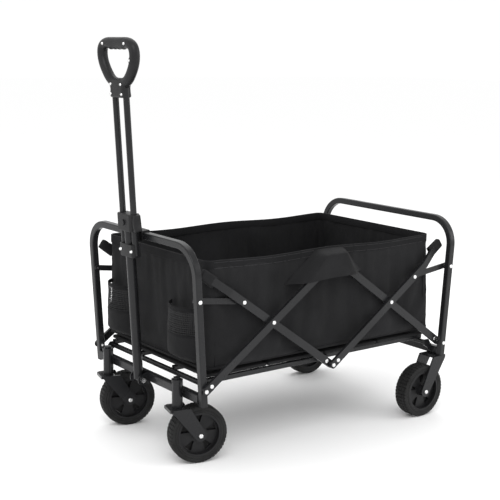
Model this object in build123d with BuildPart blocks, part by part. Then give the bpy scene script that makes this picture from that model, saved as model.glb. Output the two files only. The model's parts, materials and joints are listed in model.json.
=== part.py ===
from build123d import *
import os
from math import atan2, cos, hypot, radians, sin

# Folding camp wagon. X runs along the wagon with the handle end at -X, Y runs across it and Z is up.
# The origin is on the ground under the middle of the whole wagon, handle included. All sizes are in millimetres.
# The pieces are drawn about the middle between the foot pivots and moved by origin_shift when they are written.
os.makedirs("parts", exist_ok=True)

origin_shift = 34.0

# Overall frame
post_spacing = 500.0        # between the centres of the two front posts
foot_x = 408.0              # from the middle to each end frame's foot pivot
pivot_z = 208.0             # height of the foot pivots
cross_rise = 144.0          # from a foot pivot up to the crossing of a bar pair
lean = radians(3.8)         # both end frames lean outwards at the top
frame_top_z = 568.0
frame_bend = 72.0           # centre-line radius of the hoops' top corners
front_foot_z = 166.0

# Tubes and bars
post_tube = 18.0
lower_tube_height = 22.0
lower_tube_top_z = 194.0
rail_tube = 12.0
rail_size = 13.0
tube_wall = 1.2
tube_corner = 3.0
bar_width = 20.0
bar_thickness = 8.0
bar_end_setback = 14.5      # the free bar tips stop this far short of the post line, along the bar
tip_bend_margin = 47.028877 # straight length past the link's rivet, before the free tip bends inwards
tip_bend_radius = 50.0
tip_gap = 2.8               # between a bent tip and the basket

# Pivots
rivet_radius = 3.0
rivet_head_radius = 5.6
rivet_head_height = 3.0
flat_head_height = 1.6
washer_radius = 8.0
pin_clearance = 0.1
face_gap = 0.3
washer_thickness = 1.7
second_rivet_offset = 19.0

# Links between the posts and the free bars
link_post_rise = 222.0      # post rivet above the foot pivot
link_bar_x = 86.0           # bar rivet, beyond the crossing
link_width = 15.0
link_thickness = 4.0

# Floor frame
rail_tube_inset = 32.0      # hinge tube, inside the foot pivot
rail_tube_top_z = 212.0
side_rail_y = 222.0
middle_rail_y = 80.0
rail_lap = 12.0             # the rails pass the middle by this much
bracket_thickness = 4.0

# Wheels and casters
wheel_diameter = 150.0
tyre_width = 42.0
tyre_depth = 18.0
rim_thickness = 5.0
hub_radius = 15.0
hub_width = 40.0
web_thickness = 16.0
window_count = 5
window_inner_radius = 23.0
window_outer_radius = 47.0
window_inner_width = 5.0
window_outer_width = 21.0
axle_radius = 4.0
axle_head_radius = 6.0
axle_head_height = 5.0
caster_trail = 54.0
caster_turn = radians(-14.0)
caster_y = 171.0
sleeve_radius = 12.5
sleeve_length = 72.0
stem_radius = 6.0
crown_top_z = 148.0
crown_thickness = 8.0
crown_back = 25.0           # the crown's reach behind the stem, away from the wheel
crown_reach = 14.0          # and towards the wheel, clear of the tyre
leg_gap = 3.0               # between the tyre and a fork leg
leg_thickness = 4.5
leg_boss = 15.0
rear_wheel_y = 250.0
rear_stem_x = 397.0

# Handle
handle_reach = 29.0         # handle pivot, in front of the front foot pivots
handle_pivot_z = 180.0
handle_tube_radius = 12.5
rod_radius = 8.0
rod_y = 26.0
collar_width = 68.0
collar_depth = 32.0
collar_height = 44.0
collar_top = 437.0          # along the handle from its pivot
block_width = 64.0
block_depth = 27.0
block_height = 33.0
block_gap = 34.0            # from the collar down to the block with the handle pulled out
grip_width = 166.0
grip_height = 148.0
grip_thickness = 27.0
grip_top = 872.0
grip_arm = 26.0             # width of the grip's side arms
grip_bar = 33.0             # height of its top bar
grip_neck_width = 70.0
grip_socket_height = 30.0
grip_rounding = 6.0
clip_width = 56.0
clip_wall = 3.0
clip_half_height = 13.0
clip_rod_gap = 0.6
clip_slack = 0.05
clip_depth_inset = 4.0       # the clip's arms stop this short of the handle tube's middle
clip_mouth_depth = 40.0
button_radius = 7.0
button_travel = 2.0
button_proud = 3.5

# Soft parts
basket_length = 776.0
basket_width = 469.0
basket_top_z = 520.0
cloth = 2.5
mat_thickness = 10.0
mat_gap = 3.0
mat_panels = 4
pocket_y = 150.0
pocket_width = 132.0
pocket_depth = 42.0
pocket_bottom_z = 262.0
pocket_top_z = 402.0

# Places worked out from the sizes above
post_y = post_spacing / 2
outer_bar_y = post_y + post_tube / 2 + face_gap + bar_thickness / 2
layer_gap = washer_thickness + face_gap
inner_bar_y = outer_bar_y - bar_thickness - layer_gap
rear_post_y = inner_bar_y + bar_thickness / 2 + layer_gap + post_tube / 2
half_bar = hypot(foot_x / 2, cross_rise)
bar_angle = atan2(cross_rise, foot_x / 2)
top_pivot_z = pivot_z + 2 * cross_rise
rail_x = foot_x - rail_tube_inset
rail_axis_z = rail_tube_top_z - rail_tube / 2
rail_mid_z = rail_tube_top_z + rail_size / 2
rail_top_z = rail_tube_top_z + rail_size
floor_z = rail_top_z + face_gap
mat_z = floor_z + cloth + face_gap
axle_z = wheel_diameter / 2
leg_inner = tyre_width / 2 + leg_gap
leg_outer = leg_inner + leg_thickness
sleeve_x = -(foot_x + post_tube / 2 + sleeve_radius + 1)
lower_tube_mid_z = lower_tube_top_z - lower_tube_height / 2
lower_tube_bottom_z = lower_tube_top_z - lower_tube_height


def save(piece, label):
    placed = Pos(origin_shift, 0, 0) * piece.part
    placed.label = label
    export_step(placed, f"parts/{label}.step")


# The same piece on the far side of the wagon
def mirrored(piece):
    with BuildPart() as far:
        mirror(piece.part, about=Plane.XZ)
    return far


# Hollow rounded box section, open at both ends; its width lies along "across"
def straight_tube(start, end, across, width, height):
    run = Vector(*end) - Vector(*start)
    with BuildPart() as tube:
        with BuildSketch(Plane(origin=start, x_dir=across, z_dir=run)):
            RectangleRounded(width, height, tube_corner)
            RectangleRounded(width - 2 * tube_wall, height - 2 * tube_wall, tube_corner - tube_wall, mode=Mode.SUBTRACT)
        extrude(amount=run.length)
    return tube


# Plane of the wagon's side: local x runs along the angle and the normal points to -Y
def side_plane(x, y, z, angle=0.0):
    return Plane(origin=(x, y, z), x_dir=(cos(angle), 0, sin(angle)), z_dir=(0, -1, 0))


# Hole along Y through the part being built
def drill(x, z, y_low, y_high, radius):
    with BuildSketch(Plane(origin=(x, y_low, z), x_dir=(1, 0, 0), z_dir=(0, 1, 0))) as hole:
        Circle(radius)
    extrude(hole.sketch, amount=y_high - y_low, mode=Mode.SUBTRACT)


# Near-side rivet along Y: its head stands on head_y and its shank ends at tail_y
def rivet(x, z, head_y, tail_y, washer_y=None, head_height=rivet_head_height):
    with BuildPart() as pin:
        with BuildSketch(Plane(origin=(x, head_y, z), x_dir=(1, 0, 0), z_dir=(0, -1, 0))):
            Circle(rivet_head_radius)
        extrude(amount=head_height)
        fillet(pin.edges().sort_by(Axis.Y)[0], head_height * 0.9)
        with BuildSketch(Plane(origin=(x, head_y, z), x_dir=(1, 0, 0), z_dir=(0, 1, 0))):
            Circle(rivet_radius)
        extrude(amount=tail_y - head_y)
        if washer_y is not None:
            with BuildSketch(Plane(origin=(x, washer_y, z), x_dir=(1, 0, 0), z_dir=(0, 1, 0))):
                Circle(washer_radius)
            extrude(amount=washer_thickness)
    return pin.part


# Near rivets and their far copies as one node
def rivet_group(pins, label):
    with BuildPart() as group:
        for pin in pins:
            add(pin)
        mirror(about=Plane.XZ)
    save(group, label)


# End frames: a hoop of square tube that leans outwards
def frame_hoop(side, spacing_y, foot_z, holes):
    hoop_plane = Plane(origin=(side * foot_x, 0, pivot_z), x_dir=(0, 1, 0), z_dir=(cos(lean), 0, -side * sin(lean)))
    top = (frame_top_z - post_tube / 2 - pivot_z) / cos(lean)
    foot = pivot_z - foot_z + post_tube
    with BuildPart() as hoop:
        with BuildLine(hoop_plane) as run:
            FilletPolyline((-spacing_y, -foot), (-spacing_y, top), (spacing_y, top), (spacing_y, -foot), radius=frame_bend)
        with BuildSketch(Plane(origin=run.line @ 0, x_dir=(0, 1, 0), z_dir=run.line % 0)):
            RectangleRounded(post_tube, post_tube, tube_corner)
            RectangleRounded(
                post_tube - 2 * tube_wall, post_tube - 2 * tube_wall, tube_corner - tube_wall, mode=Mode.SUBTRACT
            )
        sweep(path=run.line)
        with BuildSketch(Plane.XY.offset(foot_z)):
            with Locations((side * foot_x, 0)):
                Rectangle(4 * post_tube, 3 * spacing_y)
        extrude(amount=-3 * post_tube, mode=Mode.SUBTRACT)
        for x, z in holes:
            drill(x, z, -1.5 * spacing_y, 1.5 * spacing_y, rivet_radius + pin_clearance)
    return hoop


link_post_x = foot_x + link_post_rise * sin(lean) / cos(lean)
link_post_z = pivot_z + link_post_rise
link_bar_z = pivot_z + cross_rise * (1 + link_bar_x / (foot_x / 2))
link_bar_x_abs = foot_x / 2 + link_bar_x
handle_x = foot_x + handle_reach
post_y_by_side = {-1: post_y, 1: rear_post_y}
foot_z_by_side = {-1: front_foot_z, 1: lower_tube_bottom_z}
side_names = {-1: "front", 1: "rear"}

for side in (-1, 1):
    holes = [(side * foot_x, pivot_z), (side * link_post_x, link_post_z)]
    save(frame_hoop(side, post_y_by_side[side], foot_z_by_side[side], holes), f"{side_names[side]}_frame_hoop")

# Lower cross tubes between the posts
for side in (-1, 1):
    reach = post_y_by_side[side] - post_tube / 2
    save(
        straight_tube(
            (side * foot_x, -reach, lower_tube_mid_z),
            (side * foot_x, reach, lower_tube_mid_z),
            (1, 0, 0),
            post_tube,
            lower_tube_height,
        ),
        f"{side_names[side]}_lower_tube",
    )

# Brackets that carry the floor frame's hinge tubes
for side in (-1, 1):
    bracket_inner = post_y - post_tube / 2 - face_gap - bracket_thickness
    tube_face = foot_x - post_tube / 2
    with BuildPart() as brackets:
        with BuildSketch(side_plane(0, -bracket_inner, 0)):
            with BuildLine():
                Polyline(
                    (side * tube_face, lower_tube_bottom_z + 6),
                    (side * tube_face, lower_tube_top_z),
                    (side * (rail_x + 9), rail_axis_z + 9),
                    (side * (rail_x - 9), rail_axis_z + 9),
                    (side * (rail_x - 9), rail_axis_z - 6),
                    close=True,
                )
            make_face()
        extrude(amount=bracket_thickness)
        drill(side * rail_x, rail_axis_z, -post_spacing, post_spacing, rivet_radius + pin_clearance)
        mirror(about=Plane.XZ)
    save(brackets, f"{side_names[side]}_floor_brackets")


# Scissor bars: outer bars rise to the rear, inner bars rise to the front
# Hollow flat bar with rounded ends from (start_x, pivot_z), drilled at distances along it. A free tip bends inwards.
def scissor_bar(start_x, rise_sign, y, length, hole_stops, tip_shift):
    along = bar_angle if rise_sign > 0 else radians(180) - bar_angle
    face = side_plane(start_x, y, pivot_z, along)
    edge = Plane(origin=face.origin, x_dir=face.x_dir, z_dir=(-sin(along), 0, cos(along)))
    with BuildPart() as bar:
        for cut, mode in ((0, Mode.ADD), (tube_wall, Mode.SUBTRACT)):
            with BuildSketch(edge.offset(-bar_width / 2 + cut)):
                with BuildLine():
                    if tip_shift:
                        FilletPolyline(
                            (-bar_width, 0),
                            (tip_bend_start, 0),
                            (length, tip_shift),
                            (length + bar_width, tip_shift),
                            radius=tip_bend_radius,
                        )
                    else:
                        Line((-bar_width, 0), (length + bar_width, 0))
                trace(line_width=bar_thickness - 2 * cut)
            extrude(amount=bar_width - 2 * cut, mode=mode)
        with BuildSketch(face.offset(-post_spacing / 4)):
            with Locations((length / 2, 0)):
                SlotCenterToCenter(length, bar_width)
        extrude(amount=post_spacing / 2, mode=Mode.INTERSECT)
        with BuildSketch(face.offset(-bar_thickness)):
            for stop in hole_stops:
                with Locations((stop, 0)):
                    Circle(rivet_radius + pin_clearance)
        extrude(amount=2 * bar_thickness, mode=Mode.SUBTRACT)
    return bar


full_bar = 2 * half_bar
tip_bar = full_bar - bar_end_setback
link_stop = half_bar + hypot(link_bar_x, link_bar_z - pivot_z - cross_rise)
tip_bend_start = link_stop + tip_bend_margin
tip_y = basket_width / 2 + tip_gap + bar_thickness / 2
full_stops = (0, second_rivet_offset, half_bar, full_bar)
tip_stops = (0, second_rivet_offset, half_bar, link_stop)
bars = {
    "front_outer_bar": (-foot_x, 1, outer_bar_y, full_bar, full_stops, 0),
    "front_inner_bar": (0, -1, inner_bar_y, tip_bar, tip_stops, inner_bar_y - tip_y),
    "rear_outer_bar": (0, 1, outer_bar_y, tip_bar, tip_stops, outer_bar_y - tip_y),
    "rear_inner_bar": (foot_x, -1, inner_bar_y, full_bar, full_stops, 0),
}
for name, (start_x, rise_sign, y, length, stops, tip_shift) in bars.items():
    near_bar = scissor_bar(start_x, rise_sign, -y, length, stops, tip_shift)
    save(near_bar, f"{name}_near")
    save(mirrored(near_bar), f"{name}_far")

# Rivets, grouped by the body that carries them
outer_face = -(outer_bar_y + bar_thickness / 2)
outer_back = -(outer_bar_y - bar_thickness / 2)
inner_face = -(inner_bar_y + bar_thickness / 2)
inner_back = -(inner_bar_y - bar_thickness / 2)
washer_y = outer_back
shank_end = inner_back
second_dx = second_rivet_offset * cos(bar_angle)
second_dz = second_rivet_offset * sin(bar_angle)
cross_z = pivot_z + cross_rise
post_inner = -(post_y - post_tube / 2)
link_front_y = post_y - post_tube / 2 - face_gap - link_thickness
link_rear_y = inner_bar_y + bar_thickness / 2 - link_thickness

rivet_group(
    [
        rivet(-foot_x, pivot_z, outer_face - face_gap / 2, post_inner),
        rivet(-link_post_x, link_post_z, -(post_y + post_tube / 2), -link_front_y + 1),
    ],
    "front_post_rivets",
)
rivet_group(
    [
        rivet(-foot_x / 2, cross_z, outer_face, shank_end, washer_y),
        rivet(0, top_pivot_z, outer_face, shank_end, washer_y),
        rivet(-foot_x + second_dx, pivot_z + second_dz, outer_face, outer_back),
    ],
    "front_outer_rivets",
)
rivet_group(
    [
        rivet(-second_dx, pivot_z + second_dz, inner_face, inner_back, None, flat_head_height),
        rivet(-link_bar_x_abs, link_bar_z, inner_face, -link_front_y - link_thickness - face_gap),
    ],
    "front_inner_rivets",
)
rivet_group(
    [
        rivet(foot_x - second_dx, pivot_z + second_dz, inner_face, inner_back, None, flat_head_height),
    ],
    "rear_inner_rivets",
)
rivet_group(
    [
        rivet(foot_x / 2, cross_z, outer_face, shank_end, washer_y),
        rivet(0, pivot_z, outer_face, shank_end, washer_y),
        rivet(second_dx, pivot_z + second_dz, outer_face, outer_back),
        rivet(link_bar_x_abs, link_bar_z, outer_face, outer_back + washer_thickness),
    ],
    "rear_outer_rivets",
)
rear_post_face = -(rear_post_y + post_tube / 2)
rear_post_back = -(rear_post_y - post_tube / 2)
rivet_group(
    [
        rivet(foot_x, pivot_z, rear_post_face, shank_end, rear_post_back),
        rivet(link_post_x, link_post_z, rear_post_face, -link_rear_y + 1, rear_post_back),
    ],
    "rear_post_rivets",
)


# Links
def link(side, y_inner):
    run_x = link_bar_x_abs - link_post_x
    run_z = link_bar_z - link_post_z
    length = hypot(run_x, run_z)
    angle = atan2(run_z, side * run_x)
    face = side_plane(side * link_post_x, -y_inner, link_post_z, angle)
    with BuildPart() as strip:
        with BuildSketch(face):
            with Locations((length / 2, 0)):
                SlotCenterToCenter(length, link_width)
            Circle(rivet_radius + pin_clearance, mode=Mode.SUBTRACT)
        extrude(amount=link_thickness)
    return strip


for side, y_inner in ((-1, link_front_y), (1, link_rear_y)):
    with BuildPart() as links:
        add(link(side, y_inner).part)
        mirror(about=Plane.XZ)
    save(links, f"{side_names[side]}_links")

# Floor frame halves: a hinge tube with four rails, which meet side by side in the middle
hinge_tube_reach = bracket_inner - face_gap
for side in (-1, 1):
    with BuildPart() as hinge_tube:
        add(
            straight_tube(
                (side * rail_x, -hinge_tube_reach, rail_axis_z),
                (side * rail_x, hinge_tube_reach, rail_axis_z),
                (1, 0, 0),
                rail_tube,
                rail_tube,
            ).part
        )
        for end in (-1, 1):
            plug = Plane(origin=(side * rail_x, end * (hinge_tube_reach - 12), rail_axis_z), z_dir=(0, end, 0))
            with BuildSketch(plug):
                Rectangle(rail_tube - 2 * tube_wall, rail_tube - 2 * tube_wall)
            extrude(amount=12)
            with BuildSketch(plug):
                Circle(rivet_radius)
            extrude(amount=12 + face_gap + bracket_thickness)
    save(hinge_tube, f"{side_names[side]}_floor_hinge_tube")
    shift = 0 if side < 0 else rail_size + 1
    with BuildPart() as rails:
        for rail_y in (side_rail_y - shift, middle_rail_y - shift, -middle_rail_y - shift, -side_rail_y + shift):
            add(
                straight_tube(
                    (side * (rail_x + rail_tube / 2), rail_y, rail_mid_z),
                    (-side * rail_lap, rail_y, rail_mid_z),
                    (0, 1, 0),
                    rail_size,
                    rail_size,
                ).part
            )
    save(rails, f"{side_names[side]}_floor_rails")


# Wheels
# Tyre and spoked hub about the wheel's axle line
def tyre_and_hub(centre, roll_axis, stem):
    middle = Plane(origin=centre, x_dir=(0, 0, 1), z_dir=roll_axis)
    rim_radius = wheel_diameter / 2 - tyre_depth
    with BuildPart() as tyre:
        with BuildSketch(middle.offset(-tyre_width / 2)):
            Circle(wheel_diameter / 2)
            Circle(rim_radius, mode=Mode.SUBTRACT)
        extrude(amount=tyre_width)
        outer_edges = tyre.edges().filter_by(GeomType.CIRCLE).sort_by(SortBy.RADIUS)[-2:]
        fillet(outer_edges, 6)
    with BuildPart() as hub:
        with BuildSketch(middle.offset(-hub_width / 2)):
            Circle(rim_radius - 0.05)
            Circle(rim_radius - rim_thickness, mode=Mode.SUBTRACT)
        extrude(amount=hub_width)
        with BuildSketch(middle.offset(-hub_width / 2)):
            Circle(hub_radius)
        extrude(amount=hub_width)
        with BuildSketch(middle.offset(-web_thickness / 2)):
            Circle(rim_radius - rim_thickness / 2)
            with PolarLocations(0, window_count):
                Polygon(
                    (window_inner_radius, -window_inner_width / 2),
                    (window_outer_radius, -window_outer_width / 2),
                    (window_outer_radius, window_outer_width / 2),
                    (window_inner_radius, window_inner_width / 2),
                    align=None,
                    mode=Mode.SUBTRACT,
                )
        extrude(amount=web_thickness)
        with BuildSketch(middle.offset(-hub_width)):
            Circle(axle_radius + pin_clearance)
        extrude(amount=2 * hub_width, mode=Mode.SUBTRACT)
    save(tyre, f"tyre_{stem}")
    save(hub, f"hub_{stem}")


# Fork with its crown at base and its axle one trail length along forward
def fork(base, forward, lateral, top_z, label):
    side_view = Plane(origin=base, x_dir=forward, z_dir=lateral)
    up = side_view.y_dir.Z
    with BuildPart() as body:
        for low in (-leg_outer, leg_inner):
            with BuildSketch(side_view.offset(low)):
                with Locations((caster_trail, up * axle_z)):
                    Circle(leg_boss)
                with Locations((4, up * (top_z - crown_thickness / 2))):
                    Rectangle(46, crown_thickness)
                make_hull()
                with Locations((caster_trail, up * axle_z)):
                    Circle(axle_radius + pin_clearance, mode=Mode.SUBTRACT)
            extrude(amount=leg_thickness)
        with BuildSketch(side_view.offset(-leg_inner)):
            with Locations(((crown_reach - crown_back) / 2, up * (top_z - crown_thickness / 2))):
                Rectangle(crown_reach + crown_back, crown_thickness)
        extrude(amount=2 * leg_inner)
        if base[0] < 0:
            with BuildSketch(Plane(origin=(base[0], base[1], top_z), z_dir=(0, 0, -1))):
                Circle(stem_radius + pin_clearance)
            extrude(amount=2 * crown_thickness, mode=Mode.SUBTRACT)
    save(body, label)


# Axle bolt with a head at each end, through both fork legs
def axle(base, forward, lateral):
    centre = Vector(*base) + Vector(*forward) * caster_trail + Vector(0, 0, axle_z)
    line = Plane(origin=centre, z_dir=lateral)
    with BuildPart() as bolt:
        with BuildSketch(line.offset(-leg_outer)):
            Circle(axle_radius)
        extrude(amount=2 * leg_outer)
        for end in (-1, 1):
            with BuildSketch(line.offset(end * leg_outer)):
                Circle(axle_head_radius)
            extrude(amount=end * axle_head_height)
        caps = bolt.edges().filter_by(GeomType.CIRCLE).sort_by(Axis(centre, lateral))
        fillet([caps[0], caps[-1]], 3)
    return bolt, centre


forward = (cos(caster_turn), sin(caster_turn), 0)
lateral = (-sin(caster_turn), cos(caster_turn), 0)
for side, stem in ((-1, "front_near"), (1, "front_far")):
    base = (sleeve_x, side * caster_y, 0)
    bolt, centre = axle(base, forward, lateral)
    tyre_and_hub(centre, lateral, stem)
    fork(base, forward, lateral, crown_top_z, f"fork_{stem}")
    save(bolt, f"axle_{stem}")
    with BuildPart() as stem_pin:
        with BuildSketch(Plane(origin=base).offset(crown_top_z - crown_thickness)):
            Circle(stem_radius)
        extrude(amount=sleeve_length + crown_thickness + 6)
        with BuildSketch(Plane(origin=base).offset(crown_top_z + 2 * face_gap + sleeve_length)):
            RegularPolygon(9.5, 6)
        extrude(amount=5)
    save(stem_pin, f"caster_stem_{stem}")

rear_forward = (-1, 0, 0)
rear_lateral = (0, -1, 0)
with BuildPart() as rear_axles:
    for side, stem in ((-1, "rear_near"), (1, "rear_far")):
        base = (rear_stem_x, side * rear_wheel_y, 0)
        bolt, centre = axle(base, rear_forward, rear_lateral)
        add(bolt.part)
save(rear_axles, "rear_axles")
for side, stem in ((-1, "rear_near"), (1, "rear_far")):
    base = (rear_stem_x, side * rear_wheel_y, 0)
    centre = (rear_stem_x - caster_trail, side * rear_wheel_y, axle_z)
    tyre_and_hub(centre, rear_lateral, stem)
    fork(base, rear_forward, rear_lateral, lower_tube_bottom_z, f"fork_{stem}")

# Caster sleeves welded to the front lower tube
with BuildPart() as sleeves:
    with BuildSketch(Plane(origin=(sleeve_x, -caster_y, crown_top_z + face_gap))):
        Circle(sleeve_radius)
        with Locations((sleeve_radius / 2 + 0.5, 0)):
            Rectangle(sleeve_radius + 1, sleeve_radius)
    extrude(amount=sleeve_length)
    with BuildSketch(Plane(origin=(sleeve_x, -caster_y, crown_top_z + face_gap + sleeve_length - 7))):
        Circle(sleeve_radius + 1.5)
    extrude(amount=7)
    with BuildSketch(Plane(origin=(sleeve_x, -caster_y, 0))):
        Circle(stem_radius + pin_clearance)
    extrude(amount=2 * frame_top_z, mode=Mode.SUBTRACT)
    with BuildSketch(Plane(origin=(-foot_x, -caster_y, 0))):
        Rectangle(post_tube, 4 * sleeve_radius)
    extrude(amount=2 * frame_top_z, mode=Mode.SUBTRACT)
    mirror(about=Plane.XZ)
save(sleeves, "caster_sleeves")

# Handle bracket and its bolt
bracket_y = 21.0
plate = 3.0
bracket_back = foot_x + post_tube / 2
with BuildPart() as handle_bracket:
    with BuildSketch(side_plane(0, bracket_y, 0)):
        with Locations((-handle_x, handle_pivot_z)):
            Circle(14)
        with Locations((-bracket_back - plate, lower_tube_mid_z - 1)):
            Rectangle(2 * plate, 32)
        make_hull()
        with Locations((-bracket_back + plate, lower_tube_mid_z)):
            Rectangle(2 * plate, 60, mode=Mode.SUBTRACT)
    extrude(amount=2 * bracket_y)
    with BuildSketch(side_plane(0, bracket_y - plate, 0)):
        with Locations((-bracket_back - plate - 50, lower_tube_mid_z)):
            Rectangle(100, 120)
    extrude(amount=2 * (bracket_y - plate), mode=Mode.SUBTRACT)
    drill(-handle_x, handle_pivot_z, -100, 100, axle_radius + pin_clearance)
save(handle_bracket, "handle_bracket")
with BuildPart() as handle_bolt:
    bolt_line = Plane(origin=(-handle_x, 0, handle_pivot_z), x_dir=(1, 0, 0), z_dir=(0, 1, 0))
    with BuildSketch(bolt_line.offset(-bracket_y)):
        Circle(axle_radius)
    extrude(amount=2 * bracket_y)
    with BuildSketch(bolt_line.offset(-bracket_y)):
        Circle(axle_head_radius + 1)
    extrude(amount=-axle_head_height)
    with BuildSketch(bolt_line.offset(bracket_y)):
        RegularPolygon(axle_head_radius + 1.5, 6)
    extrude(amount=axle_head_height)
save(handle_bolt, "handle_bolt")

# Handle: sections are drawn square to its leaning axis, at distances from the pivot
handle_base = Plane(origin=(-handle_x, 0, handle_pivot_z), x_dir=(0, 1, 0), z_dir=(-sin(lean), 0, cos(lean)))
collar_base = collar_top - collar_height
with BuildPart() as handle_tube:
    with BuildSketch(handle_base):
        Circle(handle_tube_radius)
        Circle(handle_tube_radius - tube_wall, mode=Mode.SUBTRACT)
    extrude(amount=collar_top - 8)
    with BuildSketch(bolt_line.offset(-(bracket_y - plate - face_gap))):
        Circle(axle_radius + 4)
    extrude(amount=2 * (bracket_y - plate - face_gap))
    drill(-handle_x, handle_pivot_z, -100, 100, axle_radius + pin_clearance)
save(handle_tube, "handle_tube")

with BuildPart() as collar:
    with BuildSketch(handle_base.offset(collar_base)):
        RectangleRounded(collar_width, collar_depth, 9)
    extrude(amount=collar_height)
    rim = collar.edges().group_by(Axis((0, 0, 0), handle_base.z_dir))
    fillet(rim[-1], 3)
    fillet(collar.edges().group_by(Axis((0, 0, 0), handle_base.z_dir))[0], 2)
    with BuildSketch(handle_base.offset(collar_base)):
        Circle(handle_tube_radius + pin_clearance)
    extrude(amount=collar_height - 8, mode=Mode.SUBTRACT)
    with BuildSketch(handle_base.offset(collar_base)):
        with Locations((-rod_y, 0), (rod_y, 0)):
            Circle(rod_radius + face_gap)
    extrude(amount=collar_height, mode=Mode.SUBTRACT)
    button_line = Plane(
        origin=handle_base.from_local_coords((0, 0, collar_base + collar_height / 2)), x_dir=(0, 1, 0), z_dir=(-cos(lean), 0, -sin(lean))
    )
    with BuildSketch(button_line.offset(handle_tube_radius)):
        Circle(button_radius + face_gap)
    extrude(amount=collar_depth, mode=Mode.SUBTRACT)
save(collar, "handle_collar")

with BuildPart() as button:
    with BuildSketch(button_line.offset(handle_tube_radius + face_gap + button_travel)):
        Circle(button_radius)
    extrude(amount=collar_depth / 2 + button_proud - handle_tube_radius - face_gap - button_travel)
save(button, "lock_button")

block_top = collar_base - block_gap
with BuildPart() as block:
    with BuildSketch(handle_base.offset(block_top - block_height)):
        RectangleRounded(block_width, block_depth, 8)
    extrude(amount=block_height)
    fillet(block.edges().group_by(Axis((0, 0, 0), handle_base.z_dir))[0], 2)
    with BuildSketch(handle_base.offset(block_top - block_height)):
        Circle(handle_tube_radius + face_gap)
    extrude(amount=block_height, mode=Mode.SUBTRACT)
    with BuildSketch(handle_base.offset(block_top - block_height + 5)):
        with Locations((-rod_y, 0), (rod_y, 0)):
            Circle(rod_radius + pin_clearance)
    extrude(amount=block_height, mode=Mode.SUBTRACT)
save(block, "slider_block")

socket_base = grip_top - grip_height
with BuildPart() as rods:
    with BuildSketch(handle_base.offset(block_top - block_height + 5)):
        with Locations((-rod_y, 0), (rod_y, 0)):
            Circle(rod_radius)
            Circle(rod_radius - tube_wall, mode=Mode.SUBTRACT)
    extrude(amount=socket_base + grip_socket_height - block_top + block_height - 5 - 4)
save(rods, "handle_rods")


# Screw heads on the handle's front face, at (across, along) places
def head_screws(places, face_offset, radius, height, label):
    with BuildPart() as screws:
        for across, along in places:
            seat = Plane(
                origin=handle_base.from_local_coords((across, 0, along)), x_dir=(0, 1, 0), z_dir=(-cos(lean), 0, -sin(lean))
            )
            with BuildSketch(seat.offset(face_offset)):
                Circle(radius)
            extrude(amount=height, taper=25)
    save(screws, label)


block_mid = block_top - block_height / 2
head_screws([(-rod_y, block_mid), (rod_y, block_mid)], block_depth / 2, 4.5, 3.0, "slider_bolts")

# D-shaped grip: rounded arms about a hand opening, on a flat neck that holds both rods
grip_plane = Plane(origin=handle_base.origin, x_dir=(0, 1, 0), z_dir=(cos(lean), 0, sin(lean)))
half_width = grip_width / 2
neck_half = grip_neck_width / 2
neck_top = socket_base + grip_socket_height
shoulder = grip_top - grip_height * 0.4
opening_half = half_width - grip_arm
opening_top = grip_top - grip_bar
opening_foot = neck_top + grip_arm * 0.8
with BuildPart() as grip:
    with BuildSketch(grip_plane.offset(-grip_thickness / 2)):
        with BuildLine():
            FilletPolyline(
                (-neck_half, socket_base),
                (-neck_half, neck_top),
                (-half_width, shoulder),
                (-half_width * 0.86, grip_top),
                (half_width * 0.86, grip_top),
                (half_width, shoulder),
                (neck_half, neck_top),
                (neck_half, socket_base),
                close=True,
                radius=[4, 20, 40, 30, 30, 40, 20, 4],
            )
        make_face()
        with BuildLine():
            FilletPolyline(
                (-opening_half * 0.4, opening_foot),
                (-opening_half, shoulder),
                (-opening_half * 0.92, opening_top),
                (opening_half * 0.92, opening_top),
                (opening_half, shoulder),
                (opening_half * 0.4, opening_foot),
                close=True,
                radius=[18, 24, 10, 10, 24, 18],
            )
        make_face(mode=Mode.SUBTRACT)
    extrude(amount=grip_thickness)
    rims = grip.faces().filter_by(Axis((0, 0, 0), grip_plane.z_dir)).edges()
    fillet(rims, grip_rounding)
    with BuildSketch(handle_base.offset(socket_base)):
        with Locations((-rod_y, 0), (rod_y, 0)):
            Circle(rod_radius + pin_clearance)
    extrude(amount=grip_socket_height - 4, mode=Mode.SUBTRACT)
save(grip, "grip")
head_screws(
    [
        (-rod_y, socket_base + 10),
        (rod_y, socket_base + 10),
        (-24, neck_top + 4),
        (24, neck_top + 4),
        (-half_width * 0.62, grip_top - grip_bar / 2),
        (half_width * 0.62, grip_top - grip_bar / 2),
        (-half_width + grip_arm / 2, grip_top - grip_height * 0.38),
    ],
    grip_thickness / 2,
    3.6,
    2.0,
    "grip_screws",
)

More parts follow.
